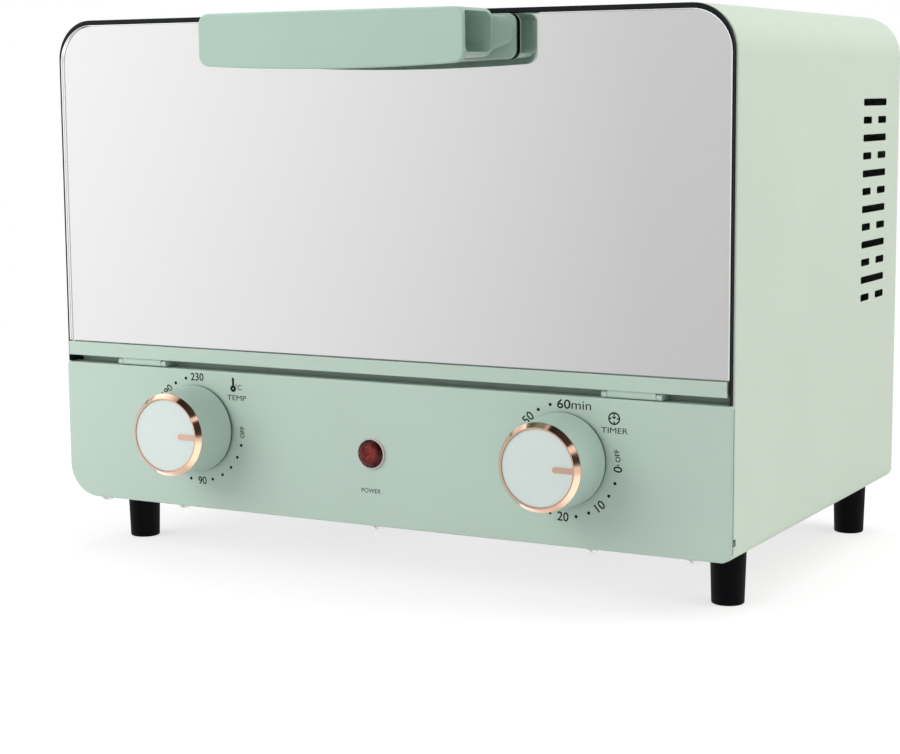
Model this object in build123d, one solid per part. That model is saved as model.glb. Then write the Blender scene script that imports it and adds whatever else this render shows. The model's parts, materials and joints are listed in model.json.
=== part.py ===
from build123d import *
import os
from math import sqrt

# Mini toaster oven with a mirrored drop-down door, every piece a solid of its own.
# Millimetres. X runs across the oven, -Y is its front and +Z is up. The origin lies on the floor under
# the middle of the oven's overall box. Left and right are as seen from the front.

# Body
body_width = 350.0
body_height = 232.5  # underside to top
body_depth = 225.0  # front of the glass to the rear edge of the shell
ground_clearance = 26.4
top_radius = 20.0
lower_left_radius = 16.0
lower_right_radius = 5.0
least_radius = 1.0  # of a corner that an inset would make sharp

# Sheets and clearances
sheet = 1.0  # painted steel
liner_sheet = 0.8  # aluminised steel
running_gap = 0.3  # between pieces that move past each other
seat_gap = 0.1  # between pieces that are fixed together
shaft_gap = 0.05  # round a pin or shaft, on the radius
cut_margin = 1.0  # that a cut runs past the face it opens

# Shell
shell_setback = 2.0  # front edge behind the face of the glass
shell_edge = 0.8  # rounding of the front edge
bottom_overlap = 10.0  # of the shell's bottom flanges under the base plate
rear_lip = 10.0
rear_strip = 8.0  # of the shell's bottom kept along the rear lip
vent_rows = 12
vent_pitch = 8.53
vent_top = 190.6  # middle of the first row above the underside
vent_height = 3.4
vent_long = 35.8
vent_short = 13.0
vent_corner = 1.0
vent_rear_margin = 21.2  # rear end of the slots to the rear of the shell
notch_height = 3.2  # of the notch in the right side that the panel's tab hooks into
notch_depth = 2.6
notch_rise = 8.5  # middle of the notch above the underside

# Control panel
panel_height = 66.7
panel_side_margin = 0.2
panel_edge = 0.8  # rounding of its front edges
panel_tongue = 12.0  # of the panel under the base plate
knob_side_margin = 78.0  # knob axis to the side of the body
knob_rise = 38.8  # knob axis above the underside
lamp_rise = 33.7

# Door
glass_thickness = 2.5
mirror_thickness = 0.2  # of the silvered backing behind the glass
mirror_margin = 0.1  # of clear glass round the backing
glass_side_margin = 2.0
glass_top_margin = 2.5
glass_edge = 0.3  # ground chamfer
glass_foot = 1.6  # rail metal under the glass
rail_height = 6.7
rail_side_margin = 2.6
rail_wall = 1.0
lip_land = 0.05  # flat top of the rail's front lip, between its rounding and its inner slope
hinge_gap = 3.6  # open slot between the panel and the door rail
hinge_side_margin = 46.0  # middle of a hinge to the side of the body
lug_width = 22.4
hinge_pin_radius = 0.9
ear_width = 2.5

# Handle
handle_reach = 33.4  # front of the grip to the front of the glass
grip_half_width = 67.3
grip_depth = 26.5
grip_top_margin = 0.3  # top of the grip below the top of the body
grip_height = 23.0  # at its ends
grip_bow = 2.0  # that the lower edge dips in the middle
grip_corner = 5.0
grip_front_edge = 1.0
lip_thickness = 3.0
lip_drop = 2.7  # of the front lip below the body of the grip
pocket_depth = 15.0
pocket_wall = 1.6
pocket_corner = 3.0
mount_flare = 6.4  # that the mount is wider at the glass, on each side
mount_height = 13.6  # at the glass
mount_inset = 1.0  # inside the ends and lower edge of the grip
mount_drop = 2.4  # below the top of the grip
mount_corner = 4.0
flange_flare = 7.8  # that the mount's flange on the glass is wider than the grip, on each side
flange_height = 19.4
flange_thickness = 1.2
flange_edge = 0.4
handle_screw_inset = 22.3  # from the end of the grip
handle_screw_radius = 2.0
handle_screw_bite = 12.0  # into the grip
handle_screw_rise = 4.4  # above the lower edge of the mount
washer_radius = 4.2
washer_thickness = 0.8
screw_head_radius = 3.4
screw_head_height = 1.6

# Front frame and cavity
rim_recess = 0.3  # face of the frame's rim behind the face of the glass
rim_side_margin = 1.2  # of the shell's edge beside the rim
rim_top_margin = 0.2
frame_flange = 8.0
sill_gap = 0.6  # top of the door rail to the frame
sill_depth = 5.0  # that the sill steps back behind the frame
skirt_overlap = 5.0  # of the sill behind the panel
cavity_side_space = 17.0  # cavity wall to the side of the body
cavity_rear_space = 22.7  # end of the cavity to the rear panel
cavity_top_space = 5.9  # air above the cavity
cavity_sill = 6.0  # lower edge of the frame to the cavity floor
cavity_radius = 8.0
liner_flange = 3.0
shield_drop = 4.0  # of the heat shield below the frame
shield_side_margin = 9.0
bracket_inset = 48.0  # middle of a strap to the cavity wall
bracket_rise = 80.0  # above the cavity floor
bracket_width = 16.0
bracket_foot = 12.0

# Racks and heaters
rack_rise = 52.0  # first ledge above the cavity floor
ledge_pitch = 34.0
ledge_width = 7.0
ledge_margin = 6.0  # of the rail plate above and below its ledges
rail_end_margin = 6.0
rack_rod_radius = 2.0
rack_wire_radius = 1.2
rack_wire_count = 15
rack_corner = 12.0
rack_side_gap = 2.0
rack_front_gap = 12.0
rack_rear_gap = 8.0
tray_side_margin = 34.0  # tray rim to the rack's frame
tray_end_margin = 10.0
tray_height = 18.0
tray_draft = 6.0
tray_rim = 5.0
tray_corner = 12.0
heater_radius = 3.5
heater_inset = 14.0  # heater axis from the cavity's roof or floor
heater_pitch = 90.0
heater_overhang = 8.0  # beyond the cavity wall
heater_pin_radius = 1.2
heater_pin_length = 4.0
insulator_radius = 7.5
insulator_collar = 5.2
insulator_flange = 3.0
insulator_proud = 0.5

# Controls
shaft_radius = 3.0
shaft_inside = 12.0  # of the shaft behind the panel's back
bush_radius = 4.8
nut_flats = 14.0
nut_thickness = 2.5
bush_proud = 0.8  # of the bush beyond its nut
thermostat_width = 38.0
thermostat_height = 34.0
thermostat_depth = 24.0
timer_size = 44.0
timer_depth = 30.0
bell_radius = 16.0
bell_depth = 9.0
bell_wall = 1.2
knob_height = 26.0
knob_gap = 0.8
knob_base_radius = 20.7
knob_shoulder_radius = 19.5
knob_wall = 1.8
knob_front_wall = 2.0
hub_radius = 5.6
shaft_bite = 13.0  # of the shaft in the knob's hub
ring_height = 3.0
ring_edge = 0.5
ring_inner_radius = 16.9
ring_land = 0.7  # flat top of the ring
face_recess = 0.5
pointer_inner = 7.2  # from the knob's axis to the pointer's tip
pointer_width = 2.3
bezel_radius = 7.1
bezel_wall = 0.55
bezel_height = 0.8
bezel_seat = 0.4
lens_plug_radius = 5.1
lens_plug_length = 3.0
lens_dome = 1.5
lens_facets = 10
lens_table_radius = 4.6
lamp_tube_wall = 0.8
lamp_tube_length = 6.0
lamp_length = 20.0
bulb_radius = 2.4
bulb_reach = 2.0

# Feet and screws
foot_side_margin = 16.2  # middle of a foot to the side of the body
foot_front_margin = 38.1  # to the front of the glass
foot_rear_margin = 18.1  # to the rear of the shell
foot_top_radius = 8.1
foot_bottom_radius = 7.3
foot_edge = 0.8
small_screw_radius = 1.5
small_screw_length = 6.0
small_head_radius = 2.7
small_head_height = 1.3
base_head_height = 1.9
recess_length = 3.4  # of the cross in a screw head
recess_width = 0.8
recess_depth = 0.7
foot_screw_bite = 12.0
foot_screw_inset = 2.9  # of each foot's screw from its middle, towards the centre of the oven
base_screw_inset = 66.2  # to the side of the body
base_screw_setback = 4.6  # from the face of the panel
base_screw_edge = 2.9  # to the end of the base plate's front ears
base_ear_depth = 14.0
base_rear_screw = 35.0  # from the rear of the shell
base_vent_rows = 5
base_vent_pitch = 14.0
base_vent_length = 60.0
base_vent_width = 4.0

# Rear panel
rear_vent_rows = 8
rear_vent_columns = 4
rear_vent_pitch_x = 52.0
rear_vent_pitch_z = 9.0
rear_vent_length = 36.0
rear_vent_height = 3.0
rear_vent_rise = 155.0  # middle of the field above the underside
gland_side_margin = 55.0
gland_rise = 24.0
gland_flange = 3.0
gland_flange_radius = 9.0
gland_neck_radius = 6.5
gland_bore = 3.6
gland_inside = 9.0
gland_barb = 0.8
block_width = 34.0
block_depth = 18.0
block_height = 15.0
block_setback = 30.0  # from the rear of the shell
block_ways = 3
block_well_radius = 3.0
block_well_depth = 7.0

# Places worked out from the sizes
half_width = body_width / 2
body_bottom = ground_clearance
body_top = body_bottom + body_height
rear_reach = max(gland_flange - sheet, small_head_height)
glass_front = handle_reach - (handle_reach + body_depth + rear_reach) / 2
glass_back = glass_front + glass_thickness
mirror_front = glass_back + seat_gap
door_back = mirror_front + mirror_thickness
frame_front = door_back + running_gap
frame_back = frame_front + sheet
shell_front = glass_front + shell_setback
shell_rear = glass_front + body_depth
rear_panel_front = shell_rear - 2 * sheet

panel_face = glass_front
panel_back = panel_face + sheet
panel_rim = shell_front - seat_gap
panel_top = body_bottom + panel_height
knob_x = half_width - knob_side_margin
knob_z = body_bottom + knob_rise
lamp_z = body_bottom + lamp_rise
notch_z = body_bottom + notch_rise

rail_bottom = panel_top + hinge_gap
rail_top = rail_bottom + rail_height
rail_front = glass_front - seat_gap - rail_wall
rail_back = door_back + seat_gap + rail_wall
glass_bottom = rail_bottom + glass_foot + seat_gap
glass_top = body_top - glass_top_margin
glass_half_width = half_width - glass_side_margin
glass_radius = top_radius - glass_side_margin
hinge_x = half_width - hinge_side_margin
hinge_z = panel_top + hinge_gap / 2
hinge_y = panel_face + hinge_gap / 2 - running_gap
knuckle_radius = hinge_gap / 2 - running_gap

grip_front = glass_front - handle_reach
grip_back = grip_front + grip_depth
grip_top = body_top - grip_top_margin
grip_end_bottom = grip_top - grip_height
mount_bottom = glass_top - mount_height
flange_front = glass_front - flange_thickness
handle_screw_x = grip_half_width - handle_screw_inset
handle_screw_z = mount_bottom + handle_screw_rise

frame_bottom = rail_top + sill_gap
skirt_front = frame_back + sill_depth
skirt_back = skirt_front + sheet
cavity_half = half_width - cavity_side_space
cavity_floor = frame_bottom + cavity_sill
cavity_roof = body_top - sheet - cavity_top_space
cavity_rear = rear_panel_front - cavity_rear_space
cavity_middle = (frame_back + cavity_rear) / 2
shield_z = frame_bottom - shield_drop
bracket_x = cavity_half - bracket_inset
rack_ledge = cavity_floor + rack_rise
rack_z = rack_ledge + running_gap + rack_rod_radius
rack_half = cavity_half - liner_sheet - seat_gap - rack_side_gap - rack_rod_radius
rack_front = frame_back + rack_front_gap + rack_rod_radius
rack_rear = cavity_rear - rack_rear_gap - rack_rod_radius

foot_x = half_width - foot_side_margin
foot_front = glass_front + foot_front_margin
foot_rear = shell_rear - foot_rear_margin
base_half = foot_x - foot_top_radius
base_screw_x = half_width - base_screw_inset
flange_inner = base_half - bottom_overlap
base_bottom = body_bottom + sheet
base_top = base_bottom + sheet
base_front = shell_front + seat_gap
base_rear = rear_panel_front - seat_gap
lower_radius = max(lower_left_radius, lower_right_radius)
ear_half = half_width - lower_radius - running_gap
gland_x = gland_side_margin - half_width
gland_z = body_bottom + gland_rise

screw_hole = small_screw_radius + seat_gap
handle_screw_hole = handle_screw_radius + shaft_gap
shaft_hole = shaft_radius + shaft_gap
pin_hole = hinge_pin_radius + shaft_gap
lens_bore = lens_plug_radius + seat_gap
lamp_tube_radius = lens_bore + lamp_tube_wall
bush_reach = nut_thickness + bush_proud
hub_start = bush_reach + running_gap
ring_seat = knob_height - ring_height
face_top = knob_height - face_recess

foot_places = [(side * foot_x, y) for y in (foot_front, foot_rear) for side in (-1, 1)]
foot_screw_places = [(x * (1 - foot_screw_inset / foot_x), y) for x, y in foot_places]
base_screw_places = [
    (side * x, panel_face + base_screw_setback)
    for x in (base_screw_x, ear_half - base_screw_edge)
    for side in (-1, 1)
]
base_screw_places.append((0.0, panel_face + base_screw_setback))
base_screw_places += [
    (side * (base_half - bottom_overlap / 2), shell_rear - base_rear_screw)
    for side in (-1, 1)
]
rear_screw_places = [
    (side * (half_width - rear_lip / 2), z)
    for side in (-1, 1)
    for z in (body_top - 2 * top_radius, body_bottom + 2 * lower_radius)
]
rear_screw_places += [(side * bracket_x, body_top - rear_lip / 2) for side in (-1, 1)]


# Shapes that several pieces share
def block(x0, x1, y0, y1, z0, z1):
    """Box between two corners."""
    return Pos((x0 + x1) / 2, (y0 + y1) / 2, (z0 + z1) / 2) * Box(x1 - x0, y1 - y0, z1 - z0)


def rod_x(x0, x1, y, z, radius):
    """Round bar along X."""
    return Pos((x0 + x1) / 2, y, z) * Rot(0, 90, 0) * Cylinder(radius, x1 - x0)


def rod_y(x, y0, y1, z, radius):
    """Round bar along Y."""
    return Pos(x, (y0 + y1) / 2, z) * Rot(90, 0, 0) * Cylinder(radius, y1 - y0)


def rod_z(x, y, z0, z1, radius):
    """Round bar along Z."""
    return Pos(x, y, (z0 + z1) / 2) * Cylinder(radius, z1 - z0)


def outline(x0, x1, z0, z1, radii):
    """Face seen from the front, with radii for top left, top right, lower right and lower left."""
    corners = [(x0, z1), (x1, z1), (x1, z0), (x0, z0)]
    return make_face(FilletPolyline(*corners, radius=radii, close=True))


def slab(face, y0, y1):
    """Solid between two depths from a face seen from the front."""
    plane = Plane(origin=(0, y0, 0), x_dir=(1, 0, 0), z_dir=(0, -1, 0))
    return extrude(plane * face, amount=y1 - y0, dir=(0, 1, 0))


def body_outline(inset):
    """Outline of the whole body, drawn in by an inset."""
    reach = half_width - inset
    corners = (top_radius, top_radius, lower_right_radius, lower_left_radius)
    radii = [max(r - inset, least_radius) for r in corners]
    return outline(-reach, reach, body_bottom + inset, body_top - inset, radii)


def cavity_outline(outset):
    """Outline of the cavity, let out by an outset."""
    reach = cavity_half + outset
    radii = [cavity_radius + outset] * 4
    return outline(-reach, reach, cavity_floor - outset, cavity_roof + outset, radii)


def turned(points):
    """Solid of revolution about Z from points given as radius and height."""
    return revolve(Plane.XZ * make_face(Polyline(*points, close=True)), Axis.Z)


def on_panel(x, z):
    """Place on the panel's face whose own Z points out of the front."""
    return Plane(origin=(x, panel_face, z), x_dir=(1, 0, 0), z_dir=(0, -1, 0))


def cross_recess():
    """Cross sunk into a screw head whose face is the XY plane."""
    depth = 2 * recess_depth
    return Box(recess_length, recess_width, depth) + Box(recess_width, recess_length, depth)


def screw_up(x, y, seat):
    """Small pan-head screw that goes up from a seat, with its head below."""
    shank = rod_z(x, y, seat, seat + small_screw_length, small_screw_radius)
    low = seat - base_head_height
    head = rod_z(x, y, low, seat, small_head_radius)
    head = fillet(head.edges().group_by(Axis.Z)[0], base_head_height / 2)
    return shank + head - Pos(x, y, low) * cross_recess()


# Casing
def make_outer_shell():
    shell = slab(body_outline(0), shell_front, shell_rear)
    shell = fillet(shell.faces().sort_by(Axis.Y)[0].edges(), shell_edge)
    shell -= slab(body_outline(sheet), shell_front - cut_margin, shell_rear - sheet)
    shell -= slab(body_outline(rear_lip), shell_rear - 2 * sheet, shell_rear + cut_margin)
    shell -= block(
        -flange_inner,
        flange_inner,
        shell_front - cut_margin,
        shell_rear - rear_strip,
        body_bottom - cut_margin,
        body_bottom + 2 * sheet,
    )
    shell -= vent_cutters()
    shell -= block(
        half_width - 2 * sheet,
        half_width + cut_margin,
        shell_front - cut_margin,
        shell_front + notch_depth,
        notch_z - notch_height / 2,
        notch_z + notch_height / 2,
    )
    for x, y in foot_screw_places + base_screw_places:
        shell -= rod_z(x, y, body_bottom - cut_margin, base_top, screw_hole)
    for x, z in rear_screw_places:
        shell -= rod_y(x, shell_rear - 2 * sheet, shell_rear + cut_margin, z, screw_hole)
    return shell


def vent_cutters():
    """Rows of one long slot or two short ones, through both sides."""
    rear = shell_rear - vent_rear_margin
    middle = rear - vent_long / 2
    offset = (vent_long - vent_short) / 2
    slots = []
    for row in range(vent_rows):
        z = body_bottom + vent_top - row * vent_pitch
        spans = [(middle, vent_long)]
        if row % 2:
            spans = [(middle - offset, vent_short), (middle + offset, vent_short)]
        for y, length in spans:
            slots.append(Pos(y, z) * RectangleRounded(length, vent_height, vent_corner))
    side = Plane(origin=(-half_width - cut_margin, 0, 0), x_dir=(0, 1, 0), z_dir=(1, 0, 0))
    reach = body_width + 2 * cut_margin
    return [extrude(side * slot, amount=reach) for slot in slots]


def make_base_plate():
    plate = block(-base_half, base_half, base_front, base_rear, base_bottom, base_top)
    plate += block(-ear_half, ear_half, base_front, base_front + base_ear_depth, base_bottom, base_top)
    span = (base_vent_rows - 1) * base_vent_pitch
    for side in (-1, 1):
        for row in range(base_vent_rows):
            y = cavity_middle - span / 2 + row * base_vent_pitch
            place = Pos(side * base_vent_length, y, base_bottom - cut_margin)
            slot = SlotOverall(base_vent_length, base_vent_width)
            plate -= extrude(place * slot, amount=sheet + 2 * cut_margin)
    for x, y in base_screw_places:
        plate -= rod_z(x, y, base_bottom - cut_margin, base_top + cut_margin, screw_hole)
    return plate


def make_rear_panel():
    panel = slab(body_outline(sheet + seat_gap), rear_panel_front, shell_rear - sheet)
    before = rear_panel_front - cut_margin
    field = GridLocations(rear_vent_pitch_x, rear_vent_pitch_z, rear_vent_columns, rear_vent_rows)
    slots = [place * SlotOverall(rear_vent_length, rear_vent_height) for place in field]
    for slot in slots:
        panel -= slab(Pos(0, body_bottom + rear_vent_rise) * slot, before, shell_rear)
    panel -= rod_y(gland_x, before, shell_rear, gland_z, gland_neck_radius + seat_gap)
    for x, z in rear_screw_places:
        panel -= rod_y(x, before, shell_rear, z, screw_hole)
    return panel


def make_control_panel():
    reach = half_width - panel_side_margin
    radii = [least_radius, least_radius, lower_right_radius, lower_left_radius]
    face = outline(-reach, reach, body_bottom, panel_top, radii)
    pan = slab(face, panel_face, panel_rim)
    pan = fillet(pan.faces().sort_by(Axis.Y)[0].edges(), panel_edge)
    inner_radii = [max(r - sheet, 0) for r in radii]
    inner = outline(-reach + sheet, reach - sheet, body_bottom + sheet, panel_top - sheet, inner_radii)
    pan -= slab(inner, panel_back, panel_rim + cut_margin)
    shelf = half_width - sheet - running_gap
    pan += block(-shelf, shelf, panel_back, skirt_front - seat_gap, panel_top - sheet, panel_top)
    tongue = flange_inner - running_gap
    pan += block(-tongue, tongue, panel_back, shell_front + panel_tongue, body_bottom, base_bottom)
    tab = notch_height / 4
    tab_rear = shell_front + notch_depth - running_gap
    pan += block(reach - sheet, reach, panel_back, tab_rear, notch_z - tab, notch_z + tab)
    for x in (-knob_x, knob_x):
        pan -= rod_y(x, panel_face - cut_margin, panel_rim, knob_z, bush_radius + seat_gap)
    pan -= rod_y(0, panel_face - cut_margin, panel_rim, lamp_z, lamp_tube_radius + seat_gap)
    for x, y in base_screw_places:
        pan -= rod_z(x, y, body_bottom - cut_margin, base_bottom + cut_margin, screw_hole)
    return pan


# Front frame and cavity
def make_front_frame():
    """Dark rim round the glass, the face behind it, the sill and the flange inside the shell."""
    reach = half_width - rim_side_margin
    radius = top_radius - rim_side_margin
    rim_front = glass_front + rim_recess
    rim_bottom = panel_top + running_gap
    rim = outline(-reach, reach, rim_bottom, body_top - rim_top_margin, [radius, radius, 0, 0])
    frame = slab(rim, rim_front, shell_front - seat_gap)
    inset = sheet + seat_gap
    rear = frame_back + frame_flange
    frame += slab(body_outline(inset), shell_front - seat_gap, rear)
    frame -= slab(body_outline(inset + liner_sheet), frame_back, rear + cut_margin)
    wide = glass_half_width + running_gap
    radius = glass_radius + running_gap
    opening = outline(-wide, wide, rim_bottom, glass_top + running_gap, [radius, radius, 0, 0])
    frame -= slab(opening, rim_front - cut_margin, frame_front)
    frame -= block(-wide, wide, rim_front - cut_margin, rear + cut_margin, 0, frame_bottom)
    frame -= block(-half_width, half_width, rim_front, rear + cut_margin, 0, rim_bottom)
    shelf = half_width - inset
    sill_top = frame_bottom + sheet
    frame += block(-shelf, shelf, frame_front, skirt_back, frame_bottom, sill_top)
    frame += block(-shelf, shelf, skirt_front, skirt_back, panel_top - skirt_overlap, sill_top)
    return frame - slab(cavity_outline(0), rim_front - cut_margin, rear)


def heater_places():
    """Name, depth and height of each heater's axis."""
    heights = {"upper": cavity_roof - heater_inset, "lower": cavity_floor + heater_inset}
    depths = {"front": cavity_middle - heater_pitch / 2, "rear": cavity_middle + heater_pitch / 2}
    return [
        (f"{level}_heater_{end}", depths[end], heights[level])
        for level in heights
        for end in depths
    ]


def make_cavity_liner():
    liner = slab(cavity_outline(liner_sheet), frame_back, cavity_rear)
    liner += slab(cavity_outline(liner_sheet + liner_flange), frame_back, frame_back + liner_sheet)
    liner -= slab(cavity_outline(0), frame_back - cut_margin, cavity_rear + cut_margin)
    reach = cavity_half + cut_margin + liner_sheet
    for _, y, z in heater_places():
        liner -= rod_x(-reach, reach, y, z, insulator_collar + seat_gap)
    return liner


def make_cavity_back():
    return slab(cavity_outline(liner_sheet + liner_flange), cavity_rear, cavity_rear + liner_sheet)


def make_heat_shield():
    reach = cavity_half - shield_side_margin
    front = skirt_back + seat_gap
    floor_under = cavity_floor - liner_sheet
    shield = block(-reach, reach, front, cavity_rear, shield_z, shield_z + liner_sheet)
    for side in (-1, 1):
        inside, outside = sorted((side * reach, side * (reach - liner_sheet)))
        shield += block(inside, outside, front + frame_flange, cavity_rear, shield_z, floor_under)
    return shield


def make_liner_brackets():
    """Straps that carry the rear of the cavity on the rear panel."""
    front = cavity_rear + liner_sheet
    z = cavity_floor + bracket_rise
    straps = []
    for side in (-1, 1):
        x0 = side * bracket_x - bracket_width / 2
        x1 = x0 + bracket_width
        strap = block(x0, x1, front, rear_panel_front, z, z + sheet)
        strap += block(x0, x1, front, front + sheet, z, z + bracket_foot)
        strap += block(x0, x1, rear_panel_front - sheet, rear_panel_front, z - bracket_foot, z + sheet)
        straps.append(strap)
    return Compound(children=straps)


def make_rack_rail(side):
    wall = cavity_half - seat_gap
    front = frame_back + rail_end_margin
    rear = cavity_rear - rail_end_margin
    top = rack_ledge + ledge_pitch
    x0, x1 = sorted((side * wall, side * (wall - liner_sheet)))
    rail = block(x0, x1, front, rear, rack_ledge - ledge_margin, top + ledge_margin)
    x0, x1 = sorted((side * wall, side * (wall - ledge_width)))
    for z in (rack_ledge, top):
        rail += block(x0, x1, front, rear, z - sheet, z)
    return rail


def make_heater(y, z):
    reach = cavity_half + heater_overhang
    tube = rod_x(-reach, reach, y, z, heater_radius)
    return tube + rod_x(-reach - heater_pin_length, reach + heater_pin_length, y, z, heater_pin_radius)


def make_heater_insulators():
    """Ceramic bushes that carry the heater ends in the cavity's sides."""
    wall = cavity_half + liner_sheet
    bushes = []
    for _, y, z in heater_places():
        for side in (-1, 1):
            x0, x1 = sorted((side * wall, side * (wall + insulator_flange)))
            bush = rod_x(x0, x1, y, z, insulator_radius)
            x0, x1 = sorted((side * (cavity_half - insulator_proud), side * wall))
            bush += rod_x(x0, x1, y, z, insulator_collar)
            reach = wall + insulator_flange + cut_margin
            bushes.append(bush - rod_x(-reach, reach, y, z, heater_radius + shaft_gap))
    return Compound(children=bushes)


def make_wire_rack():
    corners = [
        (-rack_half, rack_front),
        (rack_half, rack_front),
        (rack_half, rack_rear),
        (-rack_half, rack_rear),
    ]
    path = Pos(0, 0, rack_z) * FilletPolyline(*corners, radius=rack_corner, close=True)
    start = Plane(origin=path @ 0, z_dir=path % 0)
    rack = sweep(start * Circle(rack_rod_radius), path=path)
    pitch = 2 * rack_half / (rack_wire_count + 1)
    for i in range(rack_wire_count):
        rack += rod_y(-rack_half + (i + 1) * pitch, rack_front, rack_rear, rack_z, rack_wire_radius)
    return rack


def tray_face(z, inset):
    """Rounded rectangle of the tray at a height."""
    x = rack_half - tray_side_margin - inset
    y0 = rack_front + tray_end_margin + inset
    y1 = rack_rear - tray_end_margin - inset
    return Pos(0, (y0 + y1) / 2, z) * RectangleRounded(2 * x, y1 - y0, tray_corner)


def make_bake_tray():
    bottom = rack_z + rack_wire_radius + seat_gap
    top = bottom + tray_height
    wall = liner_sheet
    foot = tray_rim + tray_draft
    outer = loft([tray_face(bottom, foot), tray_face(top, tray_rim)])
    outer += extrude(tray_face(top - wall, 0), amount=wall)
    return outer - loft([tray_face(bottom + wall, foot + wall), tray_face(top + wall, tray_rim + wall)])


# Door
def pane(inset, y0, y1):
    """Pane of the door between two depths, drawn in at its sides and top, with the handle's holes."""
    wide = glass_half_width - inset
    radius = glass_radius - inset
    face = outline(-wide, wide, glass_bottom, glass_top - inset, [radius, radius, 0, 0])
    sheet_of_glass = slab(face, y0, y1)
    hole = handle_screw_radius + running_gap
    for x in (-handle_screw_x, handle_screw_x):
        sheet_of_glass -= rod_y(x, y0 - cut_margin, y1 + cut_margin, handle_screw_z, hole)
    return sheet_of_glass


def make_door_glass():
    glass = pane(0, glass_front, glass_back)
    rim = glass.faces().sort_by(Axis.Y)[0].outer_wire().edges()
    return chamfer(rim, glass_edge)


def make_door_mirror():
    return pane(mirror_margin, mirror_front, door_back)


def hinge_span(side):
    """Ends of one hinge's lug along X."""
    return side * hinge_x - lug_width / 2, side * hinge_x + lug_width / 2


def make_door_rail():
    reach = half_width - rail_side_margin
    rail = block(-reach, reach, rail_front, rail_back, rail_bottom, rail_top)
    rail = fillet(rail.faces().sort_by(Axis.Y)[0].edges().filter_by(Axis.X), rail_wall / 2)
    slot_bottom = glass_bottom - seat_gap
    rail -= block(
        -reach - cut_margin,
        reach + cut_margin,
        glass_front - seat_gap,
        door_back + seat_gap,
        slot_bottom,
        rail_top + cut_margin,
    )
    lip_inside = rail.edges().filter_by(Axis.X).group_by(Axis.Z)[-1].sort_by(Axis.Y)[1]
    rail = chamfer(lip_inside, rail_wall / 2 - lip_land)
    for side in (-1, 1):
        x0, x1 = hinge_span(side)
        rail += rod_x(x0, x1, hinge_y, hinge_z, knuckle_radius)
        rail += block(x0, x1, hinge_y - knuckle_radius, hinge_y + knuckle_radius, hinge_z, slot_bottom)
        rail -= rod_x(x0 - cut_margin, x1 + cut_margin, hinge_y, hinge_z, pin_hole)
    return rail


def make_hinge_bracket(side):
    lug0, lug1 = hinge_span(side)
    x0 = lug0 - running_gap - ear_width
    x1 = lug1 + running_gap + ear_width
    low = hinge_z - knuckle_radius
    bracket = block(x0, x1, skirt_front - sheet, skirt_front, low, frame_bottom - seat_gap)
    for ear0, ear1 in ((x0, x0 + ear_width), (x1 - ear_width, x1)):
        bracket += rod_x(ear0, ear1, hinge_y, hinge_z, knuckle_radius)
        bracket += block(ear0, ear1, hinge_y, skirt_front, low, hinge_z + knuckle_radius)
    return bracket - rod_x(x0 - cut_margin, x1 + cut_margin, hinge_y, hinge_z, pin_hole)


def make_hinge_pin(side):
    x0, x1 = hinge_span(side)
    reach = running_gap + ear_width
    return rod_x(x0 - reach, x1 + reach, hinge_y, hinge_z, hinge_pin_radius)


# Handle
def grip_face(raise_by):
    """Front outline of the grip, with a bowed lower edge that may be raised."""
    low = grip_end_bottom + raise_by
    left, right = -grip_half_width, grip_half_width
    edges = [
        ThreePointArc((left, low), (0, low - grip_bow), (right, low)),
        Line((right, low), (right, grip_top)),
        Line((right, grip_top), (left, grip_top)),
        Line((left, grip_top), (left, low)),
    ]
    face = make_face(edges)
    return fillet(face.vertices(), grip_corner)


def make_handle_grip():
    lip_back = grip_front + lip_thickness
    lip = slab(grip_face(0), grip_front, lip_back)
    lip = fillet(lip.faces().sort_by(Axis.Y)[0].edges(), grip_front_edge)
    grip = lip + slab(grip_face(lip_drop), lip_back, grip_back)
    low = grip_end_bottom + lip_drop + pocket_wall
    for side in (-1, 1):
        inner = grip_half_width - pocket_depth
        x0, x1 = sorted((side * inner, side * (grip_half_width + pocket_wall)))
        front = grip_front + pocket_wall
        pocket = block(x0, x1, front, grip_back - pocket_wall, low, grip_top - pocket_wall)
        grip -= fillet(pocket.edges().filter_by(Axis.X), pocket_corner)
        x = side * handle_screw_x
        bite = grip_back - handle_screw_bite
        grip -= rod_y(x, bite, grip_back + cut_margin, handle_screw_z, handle_screw_hole)
    return grip


def make_handle_mount():
    near = grip_half_width - mount_inset
    far = grip_half_width + mount_flare
    low = grip_end_bottom + lip_drop + mount_inset
    corners = [mount_corner] * 4
    grip_side = outline(-near, near, low, grip_top - mount_drop, corners)
    glass_side = outline(-far, far, mount_bottom, glass_top - 2 * flange_edge, corners)
    front = Plane(origin=(0, grip_back, 0), x_dir=(1, 0, 0), z_dir=(0, -1, 0))
    back = Plane(origin=(0, flange_front, 0), x_dir=(1, 0, 0), z_dir=(0, -1, 0))
    wide = grip_half_width + flange_flare
    flange_side = outline(-wide, wide, glass_top - flange_height, glass_top, corners)
    flange = slab(flange_side, flange_front, glass_front)
    flange = fillet(flange.faces().sort_by(Axis.Y)[0].edges(), flange_edge)
    mount = flange + loft([back * glass_side, front * grip_side])
    before = grip_back - cut_margin
    for x in (-handle_screw_x, handle_screw_x):
        mount -= rod_y(x, before, glass_front + cut_margin, handle_screw_z, handle_screw_hole)
    return mount


def make_handle_screws():
    seat = door_back + washer_thickness
    top = seat + screw_head_height
    tip = grip_back - handle_screw_bite
    screws = []
    for x in (-handle_screw_x, handle_screw_x):
        head = rod_y(x, seat, top, handle_screw_z, screw_head_radius)
        head = fillet(head.edges().group_by(Axis.Y)[-1], screw_head_height / 2)
        head -= Pos(x, top, handle_screw_z) * Rot(90, 0, 0) * cross_recess()
        screws.append(head + rod_y(x, tip, seat, handle_screw_z, handle_screw_radius))
    return Compound(children=screws)


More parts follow.
